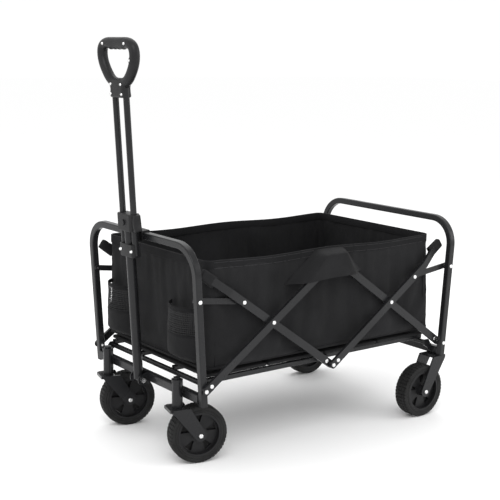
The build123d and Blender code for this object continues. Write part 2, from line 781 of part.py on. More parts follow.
# Clip on the front hoop's top tube that holds the handle upright
bar_mid = (frame_top_z - post_tube / 2 - pivot_z) / cos(lean)
clip_bar_x = -foot_x - bar_mid * sin(lean)
clip_bar_z = frame_top_z - post_tube / 2
clip_frame = Plane(origin=(clip_bar_x, 0, clip_bar_z), x_dir=(0, 1, 0), z_dir=(-sin(lean), 0, cos(lean)))
tube_offset = (Vector(-handle_x, 0, handle_pivot_z) - Vector(clip_bar_x, 0, clip_bar_z)).dot(Vector(cos(lean), 0, sin(lean)))
clip_arm = rod_y - rod_radius - clip_rod_gap - handle_tube_radius - face_gap
with BuildPart() as clip:
    with BuildSketch(clip_frame.offset(-clip_half_height)):
        Rectangle(clip_width, post_tube + 2 * clip_wall)
        with Locations((0, -(tube_offset - clip_depth_inset) / 2)):
            Rectangle(2 * (handle_tube_radius + face_gap + clip_arm), -(tube_offset - clip_depth_inset))
        with Locations((0, -tube_offset)):
            Circle(handle_tube_radius + face_gap, mode=Mode.SUBTRACT)
        with Locations((0, -tube_offset + clip_mouth_depth / 2)):
            Rectangle(2 * (handle_tube_radius + face_gap), clip_mouth_depth, mode=Mode.SUBTRACT)
    extrude(amount=2 * clip_half_height)
    with BuildSketch(Plane(origin=clip_frame.origin, x_dir=clip_frame.z_dir, z_dir=(0, 1, 0)).offset(-50)):
        RectangleRounded(post_tube + 2 * clip_slack, post_tube + 2 * clip_slack, tube_corner)
    extrude(amount=100, mode=Mode.SUBTRACT)
save(clip, "handle_clip")

# Basket: an open box of cloth with two cup pockets in front
with BuildPart() as basket:
    with BuildSketch(Plane.XY.offset(floor_z)):
        RectangleRounded(basket_length, basket_width, 20)
    extrude(amount=basket_top_z - floor_z)
    with BuildSketch(Plane.XY.offset(floor_z + cloth)):
        RectangleRounded(basket_length - 2 * cloth, basket_width - 2 * cloth, 20 - cloth)
    extrude(amount=basket_top_z, mode=Mode.SUBTRACT)
save(basket, "basket")

basket_front = -basket_length / 2
for side, stem in ((-1, "near"), (1, "far")):
    with BuildPart() as pocket:
        with BuildSketch(Plane(origin=(basket_front - face_gap, side * pocket_y, pocket_bottom_z), x_dir=(0, 1, 0), z_dir=(0, 0, 1))):
            with BuildLine():
                Line((-pocket_width / 2, 0), (pocket_width / 2, 0))
                ThreePointArc((pocket_width / 2, 0), (0, pocket_depth), (-pocket_width / 2, 0))
            make_face()
        extrude(amount=pocket_top_z - pocket_bottom_z)
        offset(amount=-cloth, openings=pocket.faces().sort_by(Axis.Z)[-1:])
    save(pocket, f"cup_pocket_{stem}")

# Folding floor mat of separate stiff boards
mat_length = basket_length - 2 * cloth - 2 * mat_gap
panel = (mat_length - (mat_panels - 1) * mat_gap) / mat_panels
with BuildPart() as mat:
    with BuildSketch(Plane.XY.offset(mat_z)):
        with GridLocations(panel + mat_gap, 1, mat_panels, 1):
            RectangleRounded(panel, basket_width - 2 * cloth - 2 * mat_gap, 8)
    extrude(amount=mat_thickness)
save(mat, "floor_mat")
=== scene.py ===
import bpy, json
from math import atan2, cos, hypot, pi, radians, sin
from mathutils import Matrix, Quaternion, Vector, noise


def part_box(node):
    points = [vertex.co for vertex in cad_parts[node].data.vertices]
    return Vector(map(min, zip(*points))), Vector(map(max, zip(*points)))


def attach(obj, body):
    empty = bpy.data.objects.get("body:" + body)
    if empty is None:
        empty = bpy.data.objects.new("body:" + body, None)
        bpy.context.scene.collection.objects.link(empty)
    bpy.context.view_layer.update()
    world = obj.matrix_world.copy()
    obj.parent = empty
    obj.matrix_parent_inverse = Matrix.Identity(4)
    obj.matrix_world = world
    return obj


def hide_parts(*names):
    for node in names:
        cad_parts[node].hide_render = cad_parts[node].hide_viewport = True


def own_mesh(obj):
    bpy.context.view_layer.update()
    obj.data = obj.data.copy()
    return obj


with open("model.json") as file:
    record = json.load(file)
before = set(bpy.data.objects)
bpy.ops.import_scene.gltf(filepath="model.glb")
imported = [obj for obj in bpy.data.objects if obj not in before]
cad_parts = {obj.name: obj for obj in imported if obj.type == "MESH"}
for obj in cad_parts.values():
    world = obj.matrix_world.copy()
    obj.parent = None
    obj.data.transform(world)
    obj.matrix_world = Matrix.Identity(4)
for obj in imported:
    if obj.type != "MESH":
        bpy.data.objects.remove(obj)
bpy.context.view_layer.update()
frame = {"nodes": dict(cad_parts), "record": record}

nodes = frame["nodes"]


def mm(value):  # sizes are written in millimetres
    return value / 1000


def deselectAll():
    if bpy.context.object and bpy.context.object.mode != "OBJECT":
        bpy.ops.object.mode_set(mode="OBJECT")
    bpy.ops.object.select_all(action="DESELECT")


def activate(piece):
    deselectAll()
    piece.select_set(True)
    bpy.context.view_layer.objects.active = piece


def editMode(selectMode="VERT"):  # starts with everything selected
    bpy.ops.object.mode_set(mode="EDIT")
    bpy.ops.mesh.select_mode(type=selectMode)
    bpy.ops.mesh.select_all(action="SELECT")


def objectMode():
    bpy.ops.object.mode_set(mode="OBJECT")


def turnFacesOut(piece):
    activate(piece)
    editMode("FACE")
    bpy.ops.mesh.normals_make_consistent(inside=False)
    objectMode()


def applyPlace(piece):  # the place goes into the mesh
    activate(piece)
    bpy.ops.object.transform_apply(location=True, rotation=True, scale=True)


def addModifier(piece, kind, **settings):  # added and applied at once
    activate(piece)
    modifier = piece.modifiers.new(kind.title(), kind)
    for key, value in settings.items():
        setattr(modifier, key, value)
    bpy.ops.object.modifier_apply(modifier=modifier.name)


def addBox(name, low, high):
    deselectAll()
    middle = [(a + b) / 2 for a, b in zip(low, high)]
    bpy.ops.mesh.primitive_cube_add(size=1, location=middle)
    piece = bpy.context.object
    piece.name = name
    piece.scale = [b - a for a, b in zip(low, high)]
    applyPlace(piece)
    return piece


def selectWhere(piece, test, kind="faces"):  # picks faces, edges or vertices by their place
    objectMode()
    mesh = piece.data
    for group in (mesh.vertices, mesh.edges, mesh.polygons):
        for item in group:
            item.select = False
    if kind == "faces":
        for face in mesh.polygons:
            face.select = test(face.center, face.normal)
    elif kind == "edges":
        for edge in mesh.edges:
            a, b = (mesh.vertices[i].co for i in edge.vertices)
            edge.select = test(a, b)
    else:
        for vertex in mesh.vertices:
            vertex.select = test(vertex.co)
    bpy.ops.object.mode_set(mode="EDIT")
    modes = {"faces": "FACE", "edges": "EDGE", "vertices": "VERT"}
    bpy.ops.mesh.select_mode(type=modes[kind])


def cutEvery(piece, axis, step):  # even cuts across the piece along one axis
    activate(piece)
    values = [vertex.co[axis] for vertex in piece.data.vertices]
    low, high = min(values), max(values)
    count = max(1, round((high - low) / step))
    normal = [0, 0, 0]
    normal[axis] = 1
    for i in range(1, count):
        editMode()
        point = [0, 0, 0]
        point[axis] = low + (high - low) * i / count
        bpy.ops.mesh.bisect(plane_co=point, plane_no=normal)
        objectMode()


def smoothByAngle(piece, angle=35):
    activate(piece)
    bpy.ops.object.shade_smooth_by_angle(angle=radians(angle))


def paint(piece, material):
    piece.data.materials.clear()
    piece.data.materials.append(material)


print("materials")


def shaderOf(material):
    return material.node_tree.nodes["Principled BSDF"]


def newMaterial(name, colour, roughness, metallic=0.0, specular=0.5, sheen=0.0):
    material = bpy.data.materials.new(name)
    material.use_nodes = True
    shader = shaderOf(material)
    shader.inputs["Base Color"].default_value = (*colour, 1)
    shader.inputs["Roughness"].default_value = roughness
    shader.inputs["Metallic"].default_value = metallic
    shader.inputs["Specular IOR Level"].default_value = specular
    shader.inputs["Sheen Weight"].default_value = sheen
    return material


def addNode(material, kind, **inputs):
    node = material.node_tree.nodes.new(kind)
    for key, value in inputs.items():
        node.inputs[key.replace("_", " ")].default_value = value
    return node


def join(material, fromNode, output, toNode, inputName):
    material.node_tree.links.new(fromNode.outputs[output], toNode.inputs[inputName])


def addNoise(material, scale, detail=3.0):
    place = addNode(material, "ShaderNodeTexCoord")
    texture = addNode(material, "ShaderNodeTexNoise", Scale=scale, Detail=detail)
    join(material, place, "Object", texture, "Vector")
    return texture


def mapRange(material, source, output, low, high):
    ramp = addNode(material, "ShaderNodeMapRange", To_Min=low, To_Max=high, From_Min=0.25, From_Max=0.75)
    join(material, source, output, ramp, "Value")
    return ramp


def varyColour(material, scale, dark, light):
    texture = addNoise(material, scale, 4.0)
    ramp = material.node_tree.nodes.new("ShaderNodeValToRGB")
    ramp.color_ramp.elements[0].color = (*dark, 1)
    ramp.color_ramp.elements[1].color = (*light, 1)
    ramp.color_ramp.elements[0].position = 0.3
    ramp.color_ramp.elements[1].position = 0.7
    join(material, texture, "Fac", ramp, "Fac")
    join(material, ramp, "Color", shaderOf(material), "Base Color")


def varyRoughness(material, scale, low, high):
    spread = mapRange(material, addNoise(material, scale), "Fac", low, high)
    join(material, spread, "Result", shaderOf(material), "Roughness")


def addBump(material, source, output, strength, distance, under=None):
    bump = addNode(material, "ShaderNodeBump", Strength=strength, Distance=distance)
    join(material, source, output, bump, "Height")
    if under:
        join(material, under, "Normal", bump, "Normal")
    join(material, bump, "Normal", shaderOf(material), "Normal")
    return bump


def framePaint():  # charcoal powder coat
    material = newMaterial("framePaint", (0.012, 0.012, 0.013), 0.3, specular=0.26)
    varyColour(material, 6, (0.009, 0.0092, 0.01), (0.016, 0.0162, 0.0175))
    varyRoughness(material, 22, 0.2, 0.32)
    addBump(material, addNoise(material, 1500, 2.0), "Fac", 0.05, mm(0.08))
    return material


def brightSteel():
    material = newMaterial("brightSteel", (0.78, 0.78, 0.78), 0.25, metallic=1.0)
    varyRoughness(material, 160, 0.18, 0.34)
    addBump(material, addNoise(material, 900), "Fac", 0.05, mm(0.05))
    return material


def tyreRubber():
    material = newMaterial("tyreRubber", (0.011, 0.011, 0.011), 0.68, specular=0.2)
    varyColour(material, 40, (0.009, 0.009, 0.009), (0.018, 0.018, 0.018))
    addBump(material, addNoise(material, 900, 4.0), "Fac", 0.25, mm(0.25))
    return material


def mouldedPlastic():
    material = newMaterial("mouldedPlastic", (0.011, 0.011, 0.012), 0.4, specular=0.22)
    varyColour(material, 12, (0.008, 0.008, 0.0085), (0.0145, 0.0145, 0.0155))
    varyRoughness(material, 30, 0.38, 0.52)
    addBump(material, addNoise(material, 2200, 2.0), "Fac", 0.18, mm(0.1))
    return material


def wovenCloth(name, dark, light, threadScale, strength=0.35):
    material = newMaterial(name, dark, 0.82, specular=0.12, sheen=0.03)
    shaderOf(material).inputs["Sheen Roughness"].default_value = 0.5
    varyColour(material, 7, dark, light)
    varyRoughness(material, 16, 0.72, 0.9)
    place = addNode(material, "ShaderNodeTexCoord")
    total = None
    for direction in "XYZ":  # threads along each axis
        wave = addNode(material, "ShaderNodeTexWave", Scale=threadScale, Distortion=0.6, Detail=1.0)
        wave.bands_direction = direction
        join(material, place, "Object", wave, "Vector")
        if total is None:
            total, output = wave, "Fac"
        else:
            mix = material.node_tree.nodes.new("ShaderNodeMath")
            mix.operation = "ADD"
            material.node_tree.links.new(total.outputs[output], mix.inputs[0])
            material.node_tree.links.new(wave.outputs["Fac"], mix.inputs[1])
            total, output = mix, "Value"
    weave = addBump(material, total, output, strength, mm(0.25))
    addBump(material, addNoise(material, 35, 5.0), "Fac", 0.25, mm(1.6), under=weave)
    return material


paintCoat = framePaint()
steel = brightSteel()
rubber = tyreRubber()
plastic = mouldedPlastic()
polyester = wovenCloth("blackPolyester", (0.0085, 0.0085, 0.009), (0.0145, 0.0145, 0.0155), 300)
webbing = wovenCloth("blackWebbing", (0.006, 0.006, 0.0065), (0.011, 0.011, 0.012), 160, 0.6)
netCord = newMaterial("nylonNet", (0.02, 0.02, 0.021), 0.5, specular=0.3)
thread = newMaterial("sewingThread", (0.03, 0.03, 0.032), 0.6)
varyColour(thread, 300, (0.022, 0.022, 0.024), (0.04, 0.04, 0.042))
coats = {
    "frame_paint": paintCoat,
    "bright_steel": steel,
    "tyre": rubber,
    "black_plastic": plastic,
    "cloth": polyester,
}
slotOf = {entry["node"]: entry["material_slot"] for entry in frame["record"]["subparts"]}
for nodeName, piece in nodes.items():
    piece.data.materials.clear()
    piece.data.materials.append(coats[slotOf[nodeName]])

print("basket")
basketSettings = {
    "cell": mm(11),
    "seamHeight": mm(250),   # where the walls meet the floor
    "rearLean": mm(16),      # the rear wall leans in towards the top
    "cornerRadius": mm(20),
    "rimSag": mm(5),
    "floorRun": mm(45),      # from the wall to where the floor lies on the rails
    "railGap": mm(1.5),
    "slack": 0.014,
    "frames": 22,
    "maxMove": mm(9),
    "rimHeld": mm(16),       # held this far down from the rim
    "footHeld": mm(3),       # and this far up from the seam
    "cornerHeld": mm(24),
    "cornerHold": 0.6,
    "thickness": mm(1.4),
    "creaseDepth": mm(6.5),
    "rimFade": mm(45),       # the creases fade out over this run
    "footFade": mm(40),
}
low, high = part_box("basket")
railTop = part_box("front_floor_rails")[1].z
wagonMiddle = (low.x + high.x) / 2


def rimHeight(x):  # the top edge dips a little between the places that hold it up
    along = min(1, max(0, (x - low.x) / (high.x - low.x)))
    return high.z - basketSettings["rimSag"] * sin(2 * pi * along) ** 2


def rearShift(x, height):
    behind = max(0, (x - wagonMiddle) / (high.x - wagonMiddle))
    return -basketSettings["rearLean"] * height * behind ** 3


def smoothStep(value):
    value = max(0.0, min(1.0, value))
    return value * value * (3 - 2 * value)


def shapeBasket():  # an open box with round corners, whose floor lies on the rails
    seamHeight, inset = basketSettings["seamHeight"], basketSettings["cornerRadius"]
    piece = addBox("basketShell", low, high)
    selectWhere(piece, lambda centre, normal: normal.z > 0.5)
    bpy.ops.mesh.delete(type="ONLY_FACE")
    selectWhere(piece, lambda a, b: abs(a.z - b.z) > mm(50), "edges")
    bpy.ops.mesh.bevel(offset=inset, segments=4)
    objectMode()
    for axis in range(3):
        cutEvery(piece, axis, basketSettings["cell"])
    for vertex in piece.data.vertices:
        place = vertex.co
        height = (place.z - low.z) / (high.z - low.z)
        wall = min(place.x - low.x, high.x - place.x, place.y - low.y, high.y - place.y)
        if wall < inset:
            place.z = seamHeight + (rimHeight(place.x) - seamHeight) * height
            place.x += rearShift(place.x, height)
        else:
            drop = smoothStep((wall - inset) / basketSettings["floorRun"])
            place.z = seamHeight + (railTop + basketSettings["railGap"] - seamHeight) * drop
    return piece


def relaxCloth(piece, pinned, settings):  # short cloth simulation between the places that hold it
    before = [vertex.co.copy() for vertex in piece.data.vertices]
    group = piece.vertex_groups.new(name="pins")
    for vertex in piece.data.vertices:
        group.add([vertex.index], pinned(vertex.co), "REPLACE")
    activate(piece)
    cloth = piece.modifiers.new("Cloth", "CLOTH")
    cloth.settings.vertex_group_mass = "pins"
    cloth.settings.quality = 6
    cloth.settings.mass = 0.25
    cloth.settings.tension_stiffness = cloth.settings.compression_stiffness = 25
    cloth.settings.bending_stiffness = 0.6
    cloth.settings.shrink_min = -settings["slack"]
    cloth.collision_settings.use_collision = False
    cloth.point_cache.frame_start, cloth.point_cache.frame_end = 1, settings["frames"]
    for step in range(1, settings["frames"] + 1):
        bpy.context.scene.frame_set(step)
    bpy.ops.object.modifier_apply(modifier=cloth.name)
    bpy.context.scene.frame_set(1)
    for vertex, start in zip(piece.data.vertices, before):
        move = vertex.co - start
        if move.length > settings["maxMove"]:
            vertex.co = start + move * (settings["maxMove"] / move.length)
    piece.vertex_groups.clear()


def basketPins(place):  # 1 is held, 0 is free
    if place.z > rimHeight(place.x) - basketSettings["rimHeld"]:
        return 1.0
    if place.z < basketSettings["seamHeight"] + basketSettings["footHeld"]:
        return 1.0
    corner = hypot(min(place.x - low.x, high.x - place.x), min(place.y - low.y, high.y - place.y))
    return basketSettings["cornerHold"] if corner < basketSettings["cornerHeld"] else 0.0


def addCreases(piece):  # shallow folds that fade out at the rim and the seam
    for vertex in piece.data.vertices:
        place = vertex.co
        fromRim = (rimHeight(place.x) - place.z) / basketSettings["rimFade"]
        fromSeam = (place.z - basketSettings["seamHeight"]) / basketSettings["footFade"]
        free = max(0, min(1, fromRim, fromSeam))
        along = place.x + place.y
        broad = noise.noise(Vector((place.x * 7, place.y * 7, place.z * 4)))
        pulled = noise.noise(Vector((along * 16 + place.z * 9, along * 3, place.z * 2.5))) ** 2
        fine = noise.noise(Vector((place.x * 30 + 5, place.y * 30, place.z * 14)))
        vertex.co += vertex.normal * (broad + pulled + 0.25 * fine) * basketSettings["creaseDepth"] * free


shell = shapeBasket()
relaxCloth(shell, basketPins, basketSettings)
addCreases(shell)
addModifier(shell, "SUBSURF", levels=1, render_levels=1)
addModifier(shell, "SOLIDIFY", thickness=basketSettings["thickness"], offset=0)
paint(shell, polyester)
smoothByAngle(shell, 60)
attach(shell, "front_frame")
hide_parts("basket")


def ringAt(name, height, settings):  # closed strip round the basket's wall
    inset = basketSettings["cornerRadius"]
    reach = inset + settings["offset"]
    cornerSteps, cell = 6, mm(30)
    corners = []
    for sideX, sideY, start in ((1, 1, 0), (-1, 1, pi / 2), (-1, -1, pi), (1, -1, 3 * pi / 2)):
        cornerX = (high.x if sideX > 0 else low.x) - sideX * inset
        cornerY = (high.y if sideY > 0 else low.y) - sideY * inset
        for i in range(cornerSteps + 1):
            angle = start + pi / 2 * i / cornerSteps
            corners.append((cornerX + reach * cos(angle), cornerY + reach * sin(angle)))
    deselectAll()
    bpy.ops.mesh.primitive_circle_add(vertices=len(corners), radius=1)
    piece = bpy.context.object
    piece.name = name
    for vertex, (x, y) in zip(piece.data.vertices, corners):
        vertex.co = (x, y, 0)
    editMode("EDGE")
    bpy.ops.mesh.subdivide(number_cuts=1)
    objectMode()
    for axis in (0, 1):
        cutEvery(piece, axis, cell)
    for vertex in piece.data.vertices:
        place = vertex.co
        middle = height(place.x)
        place.z = middle - settings["width"] / 2
        place.x += rearShift(place.x, (middle - low.z) / (high.z - low.z))
    editMode("EDGE")
    bpy.ops.mesh.extrude_region_move(TRANSFORM_OT_translate={"value": (0, 0, settings["width"])})
    bpy.ops.mesh.select_all(action="SELECT")
    bpy.ops.mesh.normals_make_consistent(inside=False)
    objectMode()
    addModifier(piece, "SOLIDIFY", thickness=settings["thickness"], offset=0)
    addModifier(piece, "BEVEL", width=settings["thickness"] * 0.3, segments=2)
    paint(piece, webbing)
    smoothByAngle(piece, 50)
    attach(piece, "front_frame")
    return piece


hemSettings = {"width": mm(22), "thickness": mm(4.2), "offset": 0, "belowRim": mm(9)}
seamSettings = {"width": mm(7), "thickness": mm(4), "offset": mm(0.8), "aboveSeam": mm(2)}
seamMiddle = basketSettings["seamHeight"] + seamSettings["aboveSeam"]
hem = ringAt("rimBinding", lambda x: rimHeight(x) - hemSettings["belowRim"], hemSettings)
seam = ringAt("floorSeam", lambda x: seamMiddle, seamSettings)


def joinPieces(name, pieces):
    deselectAll()
    for piece in pieces:
        piece.select_set(True)
    bpy.context.view_layer.objects.active = pieces[0]
    if len(pieces) > 1:
        bpy.ops.object.join()
    pieces[0].name = name
    applyPlace(pieces[0])
    return pieces[0]


def copyPiece(piece, name):  # each copy has its own mesh
    twin = bpy.data.objects.new(name, piece.data.copy())
    bpy.context.scene.collection.objects.link(twin)
    return twin


stitchSettings = {"length": mm(3.2), "gap": mm(4.6), "radius": mm(0.45), "raised": 0.3}


def stitchRow(name, points, outwards):  # short raised thread lengths along a line
    gap, radius = stitchSettings["gap"], stitchSettings["radius"]
    deselectAll()
    bpy.ops.mesh.primitive_cylinder_add(vertices=6, radius=1, depth=1, rotation=(0, pi / 2, 0))
    first = bpy.context.object
    applyPlace(first)
    first.scale = (stitchSettings["length"], radius, radius)
    applyPlace(first)
    made = []
    for start, end in zip(points, points[1:]):
        run = end - start
        for i in range(max(1, int(run.length / gap))):
            stitch = copyPiece(first, name)
            stitch.rotation_mode = "QUATERNION"
            stitch.rotation_quaternion = run.to_track_quat("X", "Z")
            lift = outwards * radius * stitchSettings["raised"]
            stitch.location = start + run.normalized() * (gap * (i + 0.5)) + lift
            made.append(stitch)
    bpy.data.objects.remove(first)
    row = joinPieces(name, made)
    paint(row, thread)
    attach(row, "front_frame")
    return row


def tubeThrough(name, points, radius, cyclic):  # a round tube along a smooth curve
    deselectAll()
    bpy.ops.curve.primitive_nurbs_path_add()
    piece = bpy.context.object
    piece.name = name
    data = piece.data
    data.splines.clear()
    data.bevel_depth = radius
    data.bevel_resolution = 5
    data.resolution_u = 8
    spline = data.splines.new("NURBS")
    spline.points.add(len(points) - 1)
    for point, place in zip(spline.points, points):
        point.co = (*place, 1)
    spline.order_u = 4
    spline.use_cyclic_u = cyclic
    spline.use_endpoint_u = not cyclic
    activate(piece)
    bpy.ops.object.convert(target="MESH")
    return bpy.context.object


print("corner piping")
pipingSettings = {
    "inset": mm(26),      # from the basket's end along its long wall
    "radius": mm(1.7),
    "rows": 9,
    "wander": mm(1.2),
    "aboveSeam": mm(4),
    "belowRim": mm(22),
    "out": mm(0.9),
}


def cornerPiping(name, fromX, inwards, side):
    points = []
    x = fromX + inwards * pipingSettings["inset"]
    foot = basketSettings["seamHeight"] + pipingSettings["aboveSeam"]
    for i in range(pipingSettings["rows"]):
        z = foot + (rimHeight(x) - pipingSettings["belowRim"] - foot) * i / (pipingSettings["rows"] - 1)
        sway = noise.noise(Vector((z * 24, side, fromX * 9))) * pipingSettings["wander"]
        lean = rearShift(x, (z - low.z) / (high.z - low.z))
        points.append((x + sway + lean, side * (high.y + pipingSettings["out"]), z))
    piping = tubeThrough(name, points, pipingSettings["radius"], False)
    paint(piping, webbing)
    smoothByAngle(piping, 60)
    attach(piping, "front_frame")
    return piping


pipings = []
for side, sideWord in ((-1, "Near"), (1, "Far")):
    pipings.append(cornerPiping(f"cornerPiping{sideWord}Front", low.x, 1, side))
    pipings.append(cornerPiping(f"cornerPiping{sideWord}Rear", high.x, -1, side))

print("sleeves over the bars' top pivots")
sleeveSettings = {
    "topHalf": mm(48),        # half length along the rim
    "bottomFront": mm(150),   # reach towards the handle and the rear at the lower edge
    "bottomRear": mm(116),
    "bottomFrontZ": mm(436),
    "bottomRearZ": mm(446),
    "footSag": mm(5),
    "cover": mm(3),           # over the rivet heads
    "wallGap": mm(2.2),
    "rimGap": mm(2),
    "columns": 44,
    "rows": 20,
    "sideRise": 0.22,         # share of the length over which the sheet lifts off the wall
    "topRise": 0.16,
    "ripple": mm(2),
    "thickness": mm(1.6),
}
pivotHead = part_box("front_outer_rivets")[1].y


def sleeveSheet(name, side):
    settings = sleeveSettings
    deselectAll()
    columns, rows = settings["columns"], settings["rows"]
    bpy.ops.mesh.primitive_grid_add(x_subdivisions=columns, y_subdivisions=rows, size=1)
    piece = bpy.context.object
    piece.name = name
    wall = high.y + settings["wallGap"]
    bulge = pivotHead + settings["cover"] - wall
    for vertex in piece.data.vertices:
        u, v = vertex.co.x + 0.5, vertex.co.y + 0.5
        front = wagonMiddle - settings["bottomFront"] + (settings["bottomFront"] - settings["topHalf"]) * v
        rear = wagonMiddle + settings["bottomRear"] - (settings["bottomRear"] - settings["topHalf"]) * v
        x = front + (rear - front) * u
        foot = settings["bottomFrontZ"] * (1 - u) + settings["bottomRearZ"] * u
        foot += settings["footSag"] * sin(pi * u)
        z = foot + (rimHeight(x) - settings["rimGap"] - foot) * v
        rise = smoothStep(min(u, 1 - u) / settings["sideRise"]) * smoothStep((1 - v) / settings["topRise"])
        ripple = noise.noise(Vector((x * 18, side, z * 10))) * settings["ripple"] * rise
        vertex.co = (x, side * (wall + bulge * rise + ripple), z)
    if side > 0:
        editMode("FACE")
        bpy.ops.mesh.flip_normals()
        objectMode()
    addModifier(piece, "SUBSURF", levels=1, render_levels=1)
    addModifier(piece, "SOLIDIFY", thickness=sleeveSettings["thickness"], offset=0)
    paint(piece, polyester)
    smoothByAngle(piece, 50)
    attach(piece, "front_frame")
    return piece


sleeves = [sleeveSheet("barSleeveNear", -1), sleeveSheet("barSleeveFar", 1)]
rimSettings = {
    "stretches": 16,
    "share": 0.94,       # of the basket's length
    "start": mm(20),
    "out": mm(2.4),
    "rows": {"Upper": mm(3), "Lower": mm(17)},
}
stitches = []
for side, sideWord in ((-1, "Near"), (1, "Far")):
    y = side * (high.y + rimSettings["out"])
    for rowWord, belowRim in rimSettings["rows"].items():
        line = []
        for i in range(rimSettings["stretches"] + 1):
            along = (high.x - low.x) * i / rimSettings["stretches"] * rimSettings["share"]
            x = low.x + along + rimSettings["start"]
            line.append(Vector((x + rearShift(x, 1), y, rimHeight(x) - belowRim)))
        stitches.append(stitchRow(f"rimStitches{sideWord}{rowWord}", line, Vector((0, side, 0))))

print("cup pockets")
pocketSettings = {
    "clothTop": 0.5,      # share of the height that is solid cloth
    "bandHeight": mm(11),
    "meshWire": mm(1.3),
    "clothWall": mm(1.4),
    "bandWall": mm(2.6),
    "trimWall": mm(2.4),
    "wallGap": mm(0.6),
    "slump": mm(1.8),
    "flat": (mm(172), mm(84)),
    "grids": {"cloth": (46, 20), "net": (34, 12), "band": (60, 3), "trim": (60, 2)},
}
grids = pocketSettings["grids"]


def pocketPlace(boxLow, boxHigh, u, z):  # a point on the pocket's bulged wall
    half = (boxHigh.y - boxLow.y) / 2
    depth = boxHigh.x - boxLow.x
    radius = (half * half + depth * depth) / (2 * depth)
    spread = atan2(half, radius - depth)
    angle = (u * 2 - 1) * spread
    tall = (z - boxLow.z) / (boxHigh.z - boxLow.z)
    tuck = smoothStep((0.14 - tall) / 0.14) * 0.6       # the foot curves back to the wall
    pinch = 0.08 * smoothStep((tall - 0.55) / 0.3)      # the elastic draws the mouth in
    out = (radius * cos(angle) - (radius - depth)) * (1 - tuck - pinch)
    slump = pocketSettings["slump"] * noise.noise(Vector((u * 5, z * 40, boxLow.y * 9)))
    x = boxHigh.x - max(pocketSettings["wallGap"], out + slump * sin(pi * u))
    return Vector((x, (boxLow.y + boxHigh.y) / 2 + radius * sin(angle), z))


def pocketStrip(name, boxLow, boxHigh, zLow, zHigh, around, rows, shear=0.0):
    deselectAll()
    bpy.ops.mesh.primitive_grid_add(x_subdivisions=around, y_subdivisions=rows, size=1)
    piece = bpy.context.object
    piece.name = name
    for vertex in piece.data.vertices:
        u, v = vertex.co.x + 0.5, vertex.co.y + 0.5
        row = round(v * rows)
        if 0 < u < 1:
            u = min(1, max(0, u + (shear / around if row % 2 else 0)))
        vertex.co = pocketPlace(boxLow, boxHigh, u, zLow + (zHigh - zLow) * v)
    return piece


for word in ("near", "far"):
    boxLow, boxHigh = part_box(f"cup_pocket_{word}")
    title = word.title()
    split = boxLow.z + (boxHigh.z - boxLow.z) * pocketSettings["clothTop"]
    bandFoot = boxHigh.z - pocketSettings["bandHeight"]
    cloth = pocketStrip(f"pocketCloth{title}", boxLow, boxHigh, boxLow.z, split, *grids["cloth"])
    selectWhere(cloth, lambda co: co.z < boxLow.z + mm(1), "vertices")
    bpy.ops.mesh.extrude_region_move(TRANSFORM_OT_translate={"value": (0, 0, 0)})
    objectMode()
    for vertex in cloth.data.vertices:
        if vertex.select:
            vertex.co.x = boxHigh.x - pocketSettings["wallGap"]
            vertex.co.z = boxLow.z + mm(2)
    addModifier(cloth, "SUBSURF", levels=1, render_levels=1)
    addModifier(cloth, "SOLIDIFY", thickness=pocketSettings["clothWall"], offset=0)
    paint(cloth, polyester)
    foot, top = split - mm(2), bandFoot + mm(1)
    net = pocketStrip(f"pocketNet{title}", boxLow, boxHigh, foot, top, *grids["net"], shear=0.5)
    addModifier(net, "WIREFRAME", thickness=pocketSettings["meshWire"], use_boundary=True, use_replace=True)
    paint(net, netCord)
    top = boxHigh.z - mm(0.5)
    band = pocketStrip(f"pocketBand{title}", boxLow, boxHigh, bandFoot, top, *grids["band"])
    addModifier(band, "SOLIDIFY", thickness=pocketSettings["bandWall"], offset=0)
    addModifier(band, "BEVEL", width=mm(0.8), segments=2)
    paint(band, webbing)
    foot, top = split - mm(5), split + mm(1)
    trim = pocketStrip(f"pocketTrim{title}", boxLow, boxHigh, foot, top, *grids["trim"])
    addModifier(trim, "SOLIDIFY", thickness=pocketSettings["trimWall"], offset=0)
    addModifier(trim, "BEVEL", width=mm(0.6), segments=2)
    paint(trim, webbing)
    for piece in (cloth, net, band, trim):
        smoothByAngle(piece, 50)
        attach(piece, "front_frame")
    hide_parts(f"cup_pocket_{word}")

print("floor mat")
matSettings = {
    "boards": 4,
    "gap": mm(3),
    "edge": mm(4),
    "cell": mm(14),
    "crown": mm(1.6),
    "crownRun": mm(30),
    "ripple": mm(0.9),
}
matLow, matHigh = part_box("floor_mat")
allGaps = (matSettings["boards"] - 1) * matSettings["gap"]
boardLength = (matHigh.x - matLow.x - allGaps) / matSettings["boards"]
boards = []
for i in range(matSettings["boards"]):
    start = matLow.x + i * (boardLength + matSettings["gap"])
    end = start + boardLength
    board = addBox(f"matBoard{i}", (start, matLow.y, matLow.z), (end, matHigh.y, matHigh.z))
    addModifier(board, "BEVEL", width=matSettings["edge"], segments=4)
    for axis in (0, 1):
        cutEvery(board, axis, matSettings["cell"])
    for vertex in board.data.vertices:
        place = vertex.co
        if place.z > matHigh.z - mm(1):
            near = min(place.x - start, end - place.x, place.y - matLow.y, matHigh.y - place.y)
            ripple = noise.noise(place * 22) * matSettings["ripple"]
            fall = matSettings["crown"] * (1 - smoothStep(near / matSettings["crownRun"]))
            place.z -= fall + abs(ripple)
    boards.append(board)
for word, half in (("front", boards[:2]), ("rear", boards[2:])):  # each half folds up with its floor rails
    mat = joinPieces(f"floorMat{word.title()}", half)
    paint(mat, polyester)
    smoothByAngle(mat, 40)
    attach(mat, f"{word}_floor")
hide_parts("floor_mat")

